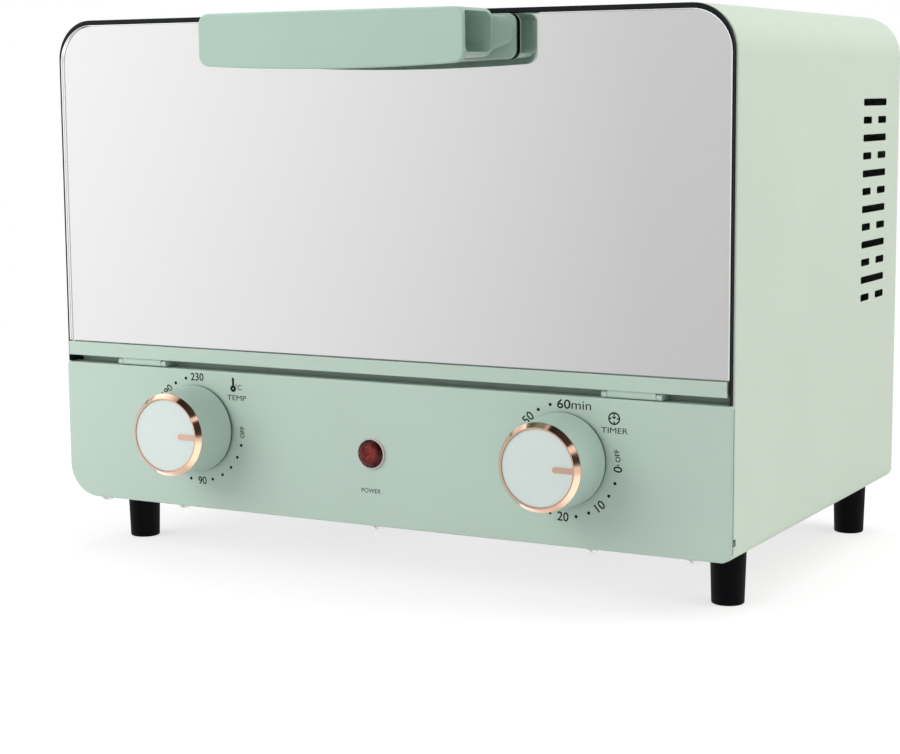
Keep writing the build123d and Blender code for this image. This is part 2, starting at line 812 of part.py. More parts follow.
def make_handle_washers():
    washers = []
    for x in (-handle_screw_x, handle_screw_x):
        disc = rod_y(x, door_back, door_back + washer_thickness, handle_screw_z, washer_radius)
        washers.append(disc - rod_y(x, glass_front, shell_rear, handle_screw_z, handle_screw_hole))
    return Compound(children=washers)


# Controls
def make_control_body(x, width, height, depth):
    """Thermostat or timer behind the panel, with its threaded bush through it."""
    body = Pos(x, panel_back + depth / 2, knob_z) * Box(width, depth, height)
    body = fillet(body.edges().filter_by(Axis.Y), least_radius)
    bush_front = panel_face - bush_reach
    body += rod_y(x, bush_front, panel_back, knob_z, bush_radius)
    return body - rod_y(x, bush_front - cut_margin, panel_back + shaft_inside, knob_z, shaft_hole)


def make_nut(x):
    hexagon = RegularPolygon(nut_flats / sqrt(3), 6)
    nut = extrude(on_panel(x, knob_z) * hexagon, amount=nut_thickness)
    front = panel_face - nut_thickness
    return nut - rod_y(x, front - cut_margin, panel_back, knob_z, bush_radius + shaft_gap)


def make_timer_bell():
    rear = panel_back + timer_depth
    bell = rod_y(knob_x, rear, rear + bell_depth, knob_z, bell_radius)
    bell = fillet(bell.edges().group_by(Axis.Y)[-1], 2 * bell_wall)
    roof = rear + bell_depth - bell_wall
    bell -= rod_y(knob_x, rear - cut_margin, roof, knob_z, bell_radius - bell_wall)
    return bell + rod_y(knob_x, rear, roof + bell_wall / 2, knob_z, shaft_radius)


def make_shaft(x):
    front = panel_face - hub_start - shaft_bite
    return rod_y(x, front, panel_back + shaft_inside, knob_z, shaft_radius)


def make_knob(x):
    draft = (knob_base_radius - knob_shoulder_radius) / (ring_seat - knob_gap)
    roof = ring_seat - knob_front_wall
    outer = turned([
        (0, knob_gap),
        (knob_base_radius, knob_gap),
        (knob_shoulder_radius, ring_seat),
        (0, ring_seat),
    ])
    mouth = knob_base_radius - knob_wall
    throat = mouth - draft * (roof - knob_gap)
    hollow = turned([(0, knob_gap), (mouth, knob_gap), (throat, roof), (0, roof)])
    hub = rod_z(0, 0, hub_start, ring_seat, hub_radius)
    bore = rod_z(0, 0, 0, hub_start + shaft_bite, shaft_hole)
    return on_panel(x, knob_z) * (outer - hollow + hub - bore)


def make_knob_ring(x):
    """Bevelled ring and the pointer that runs in from it, which points to the right when off."""
    land = ring_inner_radius + ring_land
    ring = turned([
        (ring_inner_radius, ring_seat),
        (knob_shoulder_radius, ring_seat),
        (knob_shoulder_radius, ring_seat + ring_edge),
        (land, knob_height),
        (ring_inner_radius, knob_height),
    ])
    half = pointer_width / 2
    tip = pointer_inner + half
    root = ring_inner_radius + ring_land / 2
    pointer = block(tip, root, -half, half, face_top, knob_height)
    pointer += rod_z(tip, 0, face_top, knob_height, half)
    return on_panel(x, knob_z) * (ring + pointer)


def make_knob_face(x):
    disc = rod_z(0, 0, ring_seat, face_top, ring_inner_radius - seat_gap)
    return on_panel(x, knob_z) * disc


def make_indicator_bezel():
    back = -sheet - lamp_tube_length
    bezel = turned([
        (lens_bore, back),
        (lamp_tube_radius, back),
        (lamp_tube_radius, 0),
        (bezel_radius, 0),
        (bezel_radius, bezel_height),
        (bezel_radius - bezel_wall, bezel_height),
        (bezel_radius - bezel_wall, bezel_seat),
        (lens_bore, bezel_seat),
    ])
    return on_panel(0, lamp_z) * bezel


def make_indicator_lens():
    rim = bezel_radius - bezel_wall - seat_gap
    lens = rod_z(0, 0, bezel_seat, bezel_height, rim)
    girdle = Pos(0, 0, bezel_height) * RegularPolygon(rim, lens_facets)
    table = Pos(0, 0, bezel_height + lens_dome) * RegularPolygon(lens_table_radius, lens_facets)
    lens += loft([girdle, table], ruled=True)
    lens += rod_z(0, 0, bezel_seat - lens_plug_length, bezel_seat, lens_plug_radius)
    return on_panel(0, lamp_z) * lens


def make_indicator_lamp():
    """Lamp holder pushed against the bezel's tube, with its bulb inside."""
    back = -sheet - lamp_tube_length
    holder = rod_z(0, 0, back - lamp_length, back, lamp_tube_radius)
    holder += rod_z(0, 0, back, bezel_seat - lens_plug_length - bulb_reach, bulb_radius)
    return on_panel(0, lamp_z) * holder


# Feet, screws and inlet
def make_foot(x, y, screw_x):
    """Tapered foot whose top is cut to the body's outline."""
    taper = (foot_top_radius - foot_bottom_radius) / ground_clearance
    height = ground_clearance + lower_left_radius
    top = foot_bottom_radius + taper * height
    foot = Pos(x, y, height / 2) * Cone(foot_bottom_radius, top, height)
    foot = fillet(foot.edges().group_by(Axis.Z)[0], foot_edge)
    foot -= slab(body_outline(0), shell_front, shell_rear)
    bite = body_bottom - foot_screw_bite
    return foot - rod_z(screw_x, y, bite, body_top, small_screw_radius + shaft_gap)


def make_foot_screws():
    """Screws down from the shell's flanges into the feet."""
    screws = []
    for x, y in foot_screw_places:
        shank = rod_z(x, y, body_bottom - foot_screw_bite, base_bottom, small_screw_radius)
        head = rod_z(x, y, base_bottom, base_bottom + small_head_height, small_head_radius)
        screws.append(shank + head)
    return Compound(children=screws)


def make_base_screws():
    return Compound(children=[screw_up(x, y, body_bottom) for x, y in base_screw_places])


def make_rear_screws():
    screws = []
    for x, z in rear_screw_places:
        head = rod_y(x, shell_rear, shell_rear + small_head_height, z, small_head_radius)
        head = fillet(head.edges().group_by(Axis.Y)[-1], small_head_height / 2)
        head -= Pos(x, shell_rear + small_head_height, z) * Rot(90, 0, 0) * cross_recess()
        tip = shell_rear - small_screw_length
        screws.append(head + rod_y(x, tip, shell_rear, z, small_screw_radius))
    return Compound(children=screws)


def make_cord_gland():
    outside = shell_rear - sheet
    gland = rod_y(gland_x, outside, outside + gland_flange, gland_z, gland_flange_radius)
    gland = fillet(gland.edges().group_by(Axis.Y)[-1], gland_flange / 3)
    tip = rear_panel_front - gland_inside
    middle = rear_panel_front - gland_inside / 2
    gland += rod_y(gland_x, tip, outside, gland_z, gland_neck_radius)
    gland += rod_y(gland_x, middle, rear_panel_front, gland_z, gland_neck_radius + gland_barb)
    return gland - rod_y(gland_x, tip - cut_margin, shell_rear + gland_flange, gland_z, gland_bore)


def make_terminal_block():
    rear = shell_rear - block_setback
    x0 = gland_x - block_width / 2
    body = block(x0, x0 + block_width, rear - block_depth, rear, base_top, base_top + block_height)
    pitch = block_width / block_ways
    top = base_top + block_height
    y = rear - block_depth / 2
    for i in range(block_ways):
        x = x0 + (i + 0.5) * pitch
        body -= rod_z(x, y, top - block_well_depth, top + cut_margin, block_well_radius)
    return body


def make_pieces():
    """Every piece by its name."""
    pieces = {
        "outer_shell": make_outer_shell(),
        "base_plate": make_base_plate(),
        "rear_panel": make_rear_panel(),
        "control_panel": make_control_panel(),
        "front_frame": make_front_frame(),
        "cavity_liner": make_cavity_liner(),
        "cavity_back": make_cavity_back(),
        "heat_shield": make_heat_shield(),
        "liner_brackets": make_liner_brackets(),
        "heater_insulators": make_heater_insulators(),
        "wire_rack": make_wire_rack(),
        "bake_tray": make_bake_tray(),
        "door_glass": make_door_glass(),
        "door_mirror": make_door_mirror(),
        "door_rail": make_door_rail(),
        "handle_grip": make_handle_grip(),
        "handle_mount": make_handle_mount(),
        "handle_screws": make_handle_screws(),
        "handle_washers": make_handle_washers(),
        "timer_body": make_control_body(knob_x, timer_size, timer_size, timer_depth),
        "timer_bell": make_timer_bell(),
        "indicator_bezel": make_indicator_bezel(),
        "indicator_lens": make_indicator_lens(),
        "indicator_lamp": make_indicator_lamp(),
        "foot_screws": make_foot_screws(),
        "base_screws": make_base_screws(),
        "rear_screws": make_rear_screws(),
        "cord_gland": make_cord_gland(),
        "terminal_block": make_terminal_block(),
    }
    pieces["thermostat_body"] = make_control_body(
        -knob_x, thermostat_width, thermostat_height, thermostat_depth
    )
    for name, y, z in heater_places():
        pieces[name] = make_heater(y, z)
    for word, side in (("left", -1), ("right", 1)):
        pieces[f"rack_rail_{word}"] = make_rack_rail(side)
        pieces[f"hinge_bracket_{word}"] = make_hinge_bracket(side)
        pieces[f"hinge_pin_{word}"] = make_hinge_pin(side)
    foot_names = [f"foot_{end}_{word}" for end in ("front", "rear") for word in ("left", "right")]
    for name, place, screw_place in zip(foot_names, foot_places, foot_screw_places):
        pieces[name] = make_foot(*place, screw_place[0])
    for control, device, x in (("temperature", "thermostat", -knob_x), ("timer", "timer", knob_x)):
        pieces[f"{control}_knob"] = make_knob(x)
        pieces[f"{control}_knob_ring"] = make_knob_ring(x)
        pieces[f"{control}_knob_face"] = make_knob_face(x)
        pieces[f"{device}_shaft"] = make_shaft(x)
        pieces[f"{device}_nut"] = make_nut(x)
    return pieces


os.makedirs("parts", exist_ok=True)
for piece_name, piece in make_pieces().items():
    export_step(piece, f"parts/{piece_name}.step")
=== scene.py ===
import json
from math import cos, pi, radians, sin

import bmesh
import bpy
from mathutils import Matrix, Vector


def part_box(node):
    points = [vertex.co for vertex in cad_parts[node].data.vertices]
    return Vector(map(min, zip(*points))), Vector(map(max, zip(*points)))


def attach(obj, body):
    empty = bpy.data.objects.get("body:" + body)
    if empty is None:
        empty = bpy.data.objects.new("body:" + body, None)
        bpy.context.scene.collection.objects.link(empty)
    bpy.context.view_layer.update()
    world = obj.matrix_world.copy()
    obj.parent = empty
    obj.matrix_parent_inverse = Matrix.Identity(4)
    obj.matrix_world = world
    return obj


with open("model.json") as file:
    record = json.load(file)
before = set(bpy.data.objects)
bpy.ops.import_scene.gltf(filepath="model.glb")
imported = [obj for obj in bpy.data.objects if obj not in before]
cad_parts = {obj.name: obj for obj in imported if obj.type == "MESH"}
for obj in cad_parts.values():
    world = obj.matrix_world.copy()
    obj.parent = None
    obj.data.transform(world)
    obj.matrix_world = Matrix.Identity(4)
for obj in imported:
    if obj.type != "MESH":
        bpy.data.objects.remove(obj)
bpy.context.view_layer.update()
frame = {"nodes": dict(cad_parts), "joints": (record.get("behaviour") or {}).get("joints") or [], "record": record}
nodes = frame["nodes"]
joints = {joint["name"]: joint for joint in frame["joints"]}
scene = bpy.context.scene
scene.view_settings.view_transform = "Standard"
mm = 0.001

# Camera, from the straight edges of the photograph
photo_width = 900
sensor_width = 36.0
focal_pixels = 2065.7
glass_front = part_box("door_glass")[0].y
camera_place = Vector((0.4804, glass_front - 0.7964, 0.2220))
camera_yaw = 0.5039  # towards the left
camera_pitch = 0.1357  # downwards
camera_roll = -0.0080


def add_camera():
    forward = Vector((
        -sin(camera_yaw) * cos(camera_pitch),
        cos(camera_yaw) * cos(camera_pitch),
        -sin(camera_pitch),
    ))
    level = Vector((cos(camera_yaw), sin(camera_yaw), 0))
    upright = level.cross(forward)
    right = cos(camera_roll) * level + sin(camera_roll) * upright
    up = cos(camera_roll) * upright - sin(camera_roll) * level
    data = bpy.data.cameras.new("camera")
    data.sensor_width = sensor_width
    data.lens = focal_pixels / photo_width * sensor_width
    camera = bpy.data.objects.new("camera", data)
    turn = Matrix((right, up, -forward)).transposed().to_4x4()
    camera.matrix_world = Matrix.Translation(camera_place) @ turn
    scene.collection.objects.link(camera)
    scene.camera = camera


# Node helpers
noise_low = 0.3  # most of the noise lies between these
noise_high = 0.7


def add(tree, kind, inputs=None, **settings):
    """Shader node with its settings and the values of its inputs."""
    made = tree.nodes.new("ShaderNode" + kind)
    for name, value in settings.items():
        setattr(made, name, value)
    for name, value in (inputs or {}).items():
        made.inputs[name].default_value = value
    return made


def object_point(tree, stretch=(1, 1, 1)):
    """Place on the piece in metres, stretched for a brushed look."""
    place = add(tree, "TexCoord")
    mapping = add(tree, "Mapping", {"Scale": stretch})
    tree.links.new(place.outputs["Object"], mapping.inputs["Vector"])
    return mapping.outputs["Vector"]


def noise(tree, scale, detail=2.0, stretch=(1, 1, 1)):
    made = add(tree, "TexNoise", {"Scale": scale, "Detail": detail})
    tree.links.new(object_point(tree, stretch), made.inputs["Vector"])
    return made.outputs["Fac"]


def cells(tree, scale):
    made = add(tree, "TexVoronoi", {"Scale": scale})
    tree.links.new(object_point(tree), made.inputs["Vector"])
    return made


def brightness(tree, color):
    made = add(tree, "RGBToBW")
    tree.links.new(color, made.inputs["Color"])
    return made.outputs["Val"]


def spread(tree, value, low, high, start=noise_low, end=noise_high):
    """Value between start and end, mapped to a range."""
    made = add(tree, "MapRange", {"From Min": start, "From Max": end, "To Min": low, "To Max": high})
    tree.links.new(value, made.inputs["Value"])
    return made.outputs["Result"]


def ramp(tree, value, stops):
    """Colour of a value from 0 to 1, between stops of place and colour."""
    made = add(tree, "ValToRGB")
    elements = made.color_ramp.elements
    for place, _ in stops[1:-1]:
        elements.new(place)
    for element, (place, color) in zip(elements, stops):
        element.position = place
        element.color = (*color, 1)
    tree.links.new(value, made.inputs["Fac"])
    return made.outputs["Color"]


def within(tree, low, high):
    """1 on the surfaces inside a box, 0 outside it."""
    middle = (Vector(low) + Vector(high)) / 2
    place = add(tree, "VectorMath", {1: middle}, operation="SUBTRACT")
    tree.links.new(object_point(tree), place.inputs[0])
    away = add(tree, "VectorMath", operation="ABSOLUTE")
    tree.links.new(place.outputs["Vector"], away.inputs[0])
    share = add(tree, "VectorMath", {1: Vector(high) - middle}, operation="DIVIDE")
    tree.links.new(away.outputs["Vector"], share.inputs[0])
    axes = add(tree, "SeparateXYZ")
    tree.links.new(share.outputs["Vector"], axes.inputs["Vector"])
    level = add(tree, "Math", operation="MAXIMUM")
    tree.links.new(axes.outputs["X"], level.inputs[0])
    tree.links.new(axes.outputs["Y"], level.inputs[1])
    most = add(tree, "Math", operation="MAXIMUM")
    tree.links.new(level.outputs["Value"], most.inputs[0])
    tree.links.new(axes.outputs["Z"], most.inputs[1])
    inside = add(tree, "Math", {1: 1.0}, operation="LESS_THAN")
    tree.links.new(most.outputs["Value"], inside.inputs[0])
    return inside.outputs["Value"]


def recolour(material, low, high, color):
    """Gives the surfaces inside a box another colour."""
    tree = material.node_tree
    base = tree.nodes["Principled BSDF"].inputs["Base Color"]
    mixed = add(tree, "MixRGB", {"Color2": (*color, 1)})
    tree.links.new(within(tree, low, high), mixed.inputs["Fac"])
    tree.links.new(base.links[0].from_socket, mixed.inputs["Color1"])
    tree.links.new(mixed.outputs["Color"], base)


def scaled(color, factor):
    return tuple(channel * factor for channel in color)


def bump(tree, shader, height, strength, depth):
    made = add(tree, "Bump", {"Strength": strength, "Distance": depth})
    tree.links.new(height, made.inputs["Height"])
    tree.links.new(made.outputs["Normal"], shader.inputs["Normal"])


def finish(name, color, roughness, **sockets):
    """Material with a plain shader, its tree and the shader."""
    material = bpy.data.materials.new(name)
    material.use_nodes = True
    tree = material.node_tree
    shader = tree.nodes["Principled BSDF"]
    shader.inputs["Base Color"].default_value = (*color, 1)
    shader.inputs["Roughness"].default_value = roughness
    for socket, value in sockets.items():
        shader.inputs[socket.replace("_", " ")].default_value = value
    return material, tree, shader


def clouded(tree, shader, color, amount, scale):
    """Broad, faint changes of tone."""
    stops = [(noise_low, scaled(color, 1 - amount)), (noise_high, scaled(color, 1 + amount))]
    tones = ramp(tree, noise(tree, scale), stops)
    tree.links.new(tones, shader.inputs["Base Color"])


def uneven(tree, shader, low, high, scale, stretch=(1, 1, 1)):
    """Changes of gloss over the surface."""
    patches = noise(tree, scale, detail=3, stretch=stretch)
    tree.links.new(spread(tree, patches, low, high), shader.inputs["Roughness"])


# Materials
def powder_coat(name, color):
    material, tree, shader = finish(name, color, roughness=0.4)
    clouded(tree, shader, color, amount=0.015, scale=14)
    uneven(tree, shader, low=0.36, high=0.44, scale=60)
    bump(tree, shader, noise(tree, scale=900, detail=1), strength=0.08, depth=0.15 * mm)
    return material


def moulded(name, color, low, high, grain=1500, shine=0.5):
    material, tree, shader = finish(name, color, (low + high) / 2, Specular_IOR_Level=shine)
    clouded(tree, shader, color, amount=0.02, scale=25)
    uneven(tree, shader, low, high, scale=90)
    bump(tree, shader, noise(tree, grain, detail=1), strength=0.06, depth=0.1 * mm)
    return material


def sheet_metal(name, color, low, high):
    """Rolled sheet with its spangle and faint rolling lines."""
    material, tree, shader = finish(name, color, (low + high) / 2, Metallic=1.0)
    spangle = brightness(tree, cells(tree, scale=260).outputs["Color"])
    tones = ramp(tree, spangle, [(0.2, scaled(color, 0.95)), (0.8, scaled(color, 1.03))])
    tree.links.new(tones, shader.inputs["Base Color"])
    uneven(tree, shader, low, high, scale=30, stretch=(1, 12, 12))
    lines = noise(tree, scale=120, stretch=(1, 25, 25))
    bump(tree, shader, lines, strength=0.05, depth=0.1 * mm)
    return material


def plated(name, color, low, high):
    material, tree, shader = finish(name, color, (low + high) / 2, Metallic=1.0)
    clouded(tree, shader, color, amount=0.03, scale=120)
    uneven(tree, shader, low, high, scale=300)
    bump(tree, shader, noise(tree, scale=1200, detail=1), strength=0.03, depth=0.05 * mm)
    return material


def heat_stained(name, color, stain):
    material, tree, shader = finish(name, color, roughness=0.42, Metallic=1.0)
    stains = noise(tree, scale=35, detail=4, stretch=(0.4, 1, 1))
    tree.links.new(ramp(tree, stains, [(0.35, color), (0.65, stain)]), shader.inputs["Base Color"])
    uneven(tree, shader, low=0.34, high=0.52, scale=200)
    bump(tree, shader, noise(tree, scale=900), strength=0.08, depth=0.1 * mm)
    return material


def enamel(name, color, fleck):
    """Dark enamel with small pale flecks."""
    material, tree, shader = finish(name, color, roughness=0.25)
    near = cells(tree, scale=420).outputs["Distance"]
    tones = ramp(tree, near, [(0.1, fleck), (0.16, color)])
    tree.links.new(tones, shader.inputs["Base Color"])
    uneven(tree, shader, low=0.18, high=0.32, scale=80)
    bump(tree, shader, noise(tree, scale=500), strength=0.08, depth=0.1 * mm)
    return material


def clear_glass(name, color):
    material, tree, shader = finish(name, color, roughness=0.0, Transmission_Weight=1.0, IOR=1.5)
    uneven(tree, shader, low=0.0, high=0.012, scale=20)
    return material


def mirror(name, color, back):
    """Silvered backing: bright through the glass, dim from behind."""
    material, tree, shader = finish(name, color, roughness=0.03, Metallic=1.0)
    place = add(tree, "TexCoord")
    axes = add(tree, "SeparateXYZ")
    tree.links.new(place.outputs["Normal"], axes.inputs["Vector"])
    behind = spread(tree, axes.outputs["Y"], 0, 1, start=-0.1, end=0.1)
    tree.links.new(ramp(tree, behind, [(0.0, color), (1.0, back)]), shader.inputs["Base Color"])
    uneven(tree, shader, low=0.01, high=0.025, scale=20)
    return material


def lens_plastic(name, core, rim, centre, radius):
    """Dark red plastic, with a painted glow towards its middle, painted shade at its rim and painted glints on
    facet cells.
    """
    material, tree, shader = finish(name, core, roughness=0.2, Specular_IOR_Level=0.15)
    away = add(tree, "VectorMath", {1: centre}, operation="DISTANCE")
    tree.links.new(object_point(tree), away.inputs[0])
    reach = spread(tree, away.outputs["Value"], 0, 1, start=0, end=radius)
    # painted glow and shade: brighter red in the middle, darker towards the rim
    depth = ramp(tree, reach, [(0.5, core), (0.85, rim)])
    facets = cells(tree, scale=430)
    # painted glints and shade: facet cells lighter and darker, as facets catching the light
    shades = brightness(tree, facets.outputs["Color"])
    glints = ramp(tree, shades, [(0.3, (0.5, 0.5, 0.5)), (0.7, (1.0, 1.0, 1.0))])
    cut = add(tree, "MixRGB", {"Fac": 1.0}, blend_type="MULTIPLY")
    tree.links.new(depth, cut.inputs["Color1"])
    tree.links.new(glints, cut.inputs["Color2"])
    tree.links.new(cut.outputs["Color"], shader.inputs["Base Color"])
    uneven(tree, shader, low=0.1, high=0.2, scale=300)
    bump(tree, shader, facets.outputs["Distance"], strength=0.5, depth=0.4 * mm)
    return material


def ink(name, color):
    material, tree, shader = finish(name, color, roughness=0.55, Specular_IOR_Level=0.2)
    clouded(tree, shader, color, amount=0.1, scale=900)
    bump(tree, shader, noise(tree, scale=3000, detail=1), strength=0.05, depth=0.02 * mm)
    return material


shell_mint = (0.56, 0.655, 0.545)
panel_mint = (0.47, 0.595, 0.52)
plastic_mint = (0.405, 0.56, 0.48)
# painted shade: the handle's mint darkened for the shade that falls behind the grip
mount_mint_painted_shade = (0.32, 0.45, 0.385)
# painted shade: near-black for the darkness inside the vent slots
vent_painted_shade = (0.004, 0.005, 0.004)
# painted shadow for the gaps beside the control panel and under the knobs
seam_painted_shade = (0.05, 0.1, 0.08)
# painted glow in the lens's middle and painted shade at its rim
lens_core = (0.23, 0.033, 0.028)
lens_rim = (0.045, 0.005, 0.005)
lens_low, lens_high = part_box("indicator_lens")
lens_centre = (lens_low + lens_high) / 2
lens_centre.y = lens_low.y
lens_radius = (lens_high.x - lens_low.x) / 2

materials = {
    "shell_paint": powder_coat("shell_paint", shell_mint),
    "panel_paint": powder_coat("panel_paint", panel_mint),
    "mint_moulding": moulded("mint_moulding", plastic_mint, 0.28, 0.38),
    # painted shade: the mount is the handle's moulding, darkened for the shade behind the grip
    "mount_moulding_painted_shade": moulded("mount_moulding_painted_shade", mount_mint_painted_shade, 0.28, 0.38),
    "knob_moulding": moulded("knob_moulding", (0.485, 0.62, 0.55), 0.3, 0.4),
    "pale_moulding": moulded("pale_moulding", (0.66, 0.735, 0.71), 0.2, 0.28),
    "frame_enamel": moulded("frame_enamel", (0.007, 0.009, 0.01), 0.35, 0.45, shine=0.18),
    "black_rubber": moulded("black_rubber", (0.002, 0.002, 0.003), 0.5, 0.65, grain=900, shine=0.06),
    "black_plastic": moulded("black_plastic", (0.014, 0.014, 0.014), 0.4, 0.55),
    "inner_plastic": moulded("inner_plastic", (0.58, 0.55, 0.47), 0.4, 0.55),
    "ceramic": moulded("ceramic", (0.78, 0.75, 0.68), 0.25, 0.4, grain=700),
    "sheet_steel": sheet_metal("sheet_steel", (0.55, 0.555, 0.55), 0.32, 0.46),
    "liner_steel": sheet_metal("liner_steel", (0.50, 0.495, 0.48), 0.28, 0.44),
    "zinc": plated("zinc", (0.62, 0.62, 0.60), 0.22, 0.36),
    "chrome": plated("chrome", (0.74, 0.74, 0.75), 0.08, 0.18),
    "rose_gold": plated("rose_gold", (0.86, 0.57, 0.42), 0.07, 0.14),
    "heater_steel": heat_stained("heater_steel", (0.24, 0.22, 0.2), (0.14, 0.13, 0.15)),
    "tray_enamel": enamel("tray_enamel", (0.016, 0.017, 0.02), (0.25, 0.25, 0.26)),
    "glass": clear_glass("glass", (0.985, 0.985, 0.985)),
    "mirror": mirror("mirror", (0.94, 0.937, 0.937), (0.22, 0.22, 0.22)),
    "red_lens": lens_plastic("red_lens", lens_core, lens_rim, lens_centre, lens_radius),
    "rose_bezel": moulded("rose_bezel", (0.62, 0.5, 0.46), 0.2, 0.3),
    "ink": ink("ink", (0.008, 0.012, 0.01)),
}


# Boxes of surfaces that take another colour: painted shade in the vents, painted shadow in the seams and at the
# knobs' foot, and the mint skirt
vent_front = 62 * mm  # before the shell's rear edge
vent_rear = 15 * mm
vent_top = 24 * mm  # below the shell's top
vent_bottom = 90 * mm  # above the shell's lower edge
shell_skin = 0.1 * mm
# the painted shadow in the seams beside the control panel lies within these
seam_front = 0.9 * mm  # before the shell's front edge
seam_rear = 3 * mm  # behind the shell's front edge
seam_half_width = 0.5 * mm
seam_drop = 1 * mm  # below the panel's top
# the painted shadow at the foot of the knobs reaches this far each way
knob_line = 0.9 * mm  # at the foot of the knobs
skirt_front = 8 * mm  # behind the glass
skirt_rise = 0.5 * mm  # above the door's rail
skirt_margin = 2 * mm


def shade_vents():
    """Painted shade: near-black on the vents' cut edges and the shell's inner faces about them, for the darkness
    inside the slots.
    """
    low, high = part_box("outer_shell")
    recolour(
        materials["shell_paint"],
        (low.x + shell_skin, high.y - vent_front, low.z + vent_bottom),
        (high.x - shell_skin, high.y - vent_rear, high.z - vent_top),
        vent_painted_shade,
    )


def shade_seams():
    """Painted shadow in the gaps beside the control panel and at the foot of the knobs."""
    low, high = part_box("outer_shell")
    seam_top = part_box("control_panel")[1].z - seam_drop
    for x in (low.x, high.x):
        recolour(
            materials["panel_paint"],
            (x - seam_half_width, low.y - seam_front, low.z),
            (x + seam_half_width, low.y + seam_rear, seam_top),
            seam_painted_shade,
        )
    # painted shadow: a dark band round the foot of each knob
    knob_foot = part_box("temperature_knob")[1].y
    recolour(
        materials["knob_moulding"],
        (low.x, knob_foot - knob_line, low.z),
        (high.x, knob_foot + knob_line, high.z),
        seam_painted_shade,
    )


def paint_skirt():
    """Mint skirt under the dark frame."""
    low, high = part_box("front_frame")
    skirt_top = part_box("door_rail")[1].z + skirt_rise
    recolour(
        materials["frame_enamel"],
        (low.x + skirt_margin, glass_front + skirt_front, low.z - skirt_margin),
        (high.x - skirt_margin, high.y + skirt_margin, skirt_top),
        panel_mint,
    )


finish_of_slot = {
    "mint_steel": "panel_paint",
    "dark_steel": "frame_enamel",
    "plain_steel": "sheet_steel",
    "bright_steel": "zinc",
    "chrome_wire": "chrome",
    "tray_enamel": "tray_enamel",
    "heater_steel": "heater_steel",
    "ceramic": "ceramic",
    "clear_glass": "glass",
    "mirror_glass": "mirror",
    "mint_plastic": "mint_moulding",
    "pale_plastic": "pale_moulding",
    "rose_gold": "rose_gold",
    "red_lens": "red_lens",
    "red_bezel": "rose_bezel",
    "inner_plastic": "inner_plastic",
    "black_rubber": "black_rubber",
    "black_plastic": "black_plastic",
}
finish_of_node = {
    "outer_shell": "shell_paint",
    "handle_mount": "mount_moulding_painted_shade",
    "temperature_knob": "knob_moulding",
    "timer_knob": "knob_moulding",
    "hinge_bracket_left": "panel_paint",
    "hinge_bracket_right": "panel_paint",
    "hinge_pin_left": "panel_paint",
    "hinge_pin_right": "panel_paint",
    "cavity_liner": "liner_steel",
    "cavity_back": "liner_steel",
    "rack_rail_left": "liner_steel",
    "rack_rail_right": "liner_steel",
}


def paint_nodes():
    for part in frame["record"]["subparts"]:
        name = part["node"]
        key = finish_of_node.get(name, finish_of_slot[part["material_slot"]])
        nodes[name].data.materials.clear()
        nodes[name].data.materials.append(materials[key])


# Printed marks on the control panel
panel_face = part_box("control_panel")[0].y
ink_height = 0.03 * mm
ink_sunk = 0.02 * mm
ink_weld = 0.001 * mm
weld_rounds = 2
round_steps = 32
letter_steps = 6
temperature_digit = 3.7 * mm
timer_digit = 4.1 * mm
word_height = 2.3 * mm
label_height = 2.4 * mm
label_stretch = 1.3
lamp_label_height = 2.1 * mm
digit_weight = 0.012
word_weight = 0.0
dot_radius = 0.75 * mm
scale_radius = 25.0 * mm
scale_shift = Vector((1.0, -0.4)) * mm  # of the printed scales from the knobs' axes


def text_faces(mesh, text, x, z, height, weight, turn=0.0, stretch=1.0):
    """Adds words centred on a place of the panel, turned anticlockwise and stretched sideways."""
    curve = bpy.data.curves.new("letters", "FONT")
    curve.body = text
    curve.offset = weight
    curve.resolution_u = letter_steps
    letters = bpy.data.objects.new("letters", curve)
    flat = bpy.data.meshes.new_from_object(letters)
    bpy.data.objects.remove(letters)
    points = [vertex.co for vertex in flat.vertices]
    low = Vector((min(p.x for p in points), min(p.y for p in points), 0))
    high = Vector((max(p.x for p in points), max(p.y for p in points), 0))
    size = height / (high.y - low.y)
    upright = Matrix.Rotation(pi / 2, 4, "X")
    place = Matrix.Translation((x, 0, z)) @ upright @ Matrix.Rotation(turn, 4, "Z")
    sizes = Matrix.Diagonal((size * stretch, size, size, 1))
    flat.transform(place @ sizes @ Matrix.Translation(-(low + high) / 2))
    mesh.from_mesh(flat)
    bpy.data.meshes.remove(flat)


def polygon(mesh, points):
    """Adds a flat face through places of the panel, anticlockwise as seen from the front."""
    mesh.faces.new([mesh.verts.new((x, 0, z)) for x, z in points])


def arc_points(x, z, radius, start=0.0, end=2 * pi, steps=round_steps):
    angles = [start + (end - start) * i / steps for i in range(steps)]
    return [(x + radius * cos(a), z + radius * sin(a)) for a in angles]


def disc(mesh, x, z, radius):
    polygon(mesh, arc_points(x, z, radius))


def ring(mesh, x, z, radius, width):
    outer = arc_points(x, z, radius)
    inner = arc_points(x, z, radius - width)
    for i in range(round_steps):
        j = (i + 1) % round_steps
        polygon(mesh, [inner[i], outer[i], outer[j], inner[j]])


def bar(mesh, start, end, width):
    """Adds a straight stroke."""
    along = (Vector(end) - Vector(start)).normalized() * width / 2
    across = Vector((-along.y, along.x))
    corners = [Vector(start) - across, Vector(end) - across, Vector(end) + across, Vector(start) + across]
    polygon(mesh, [tuple(corner) for corner in corners])


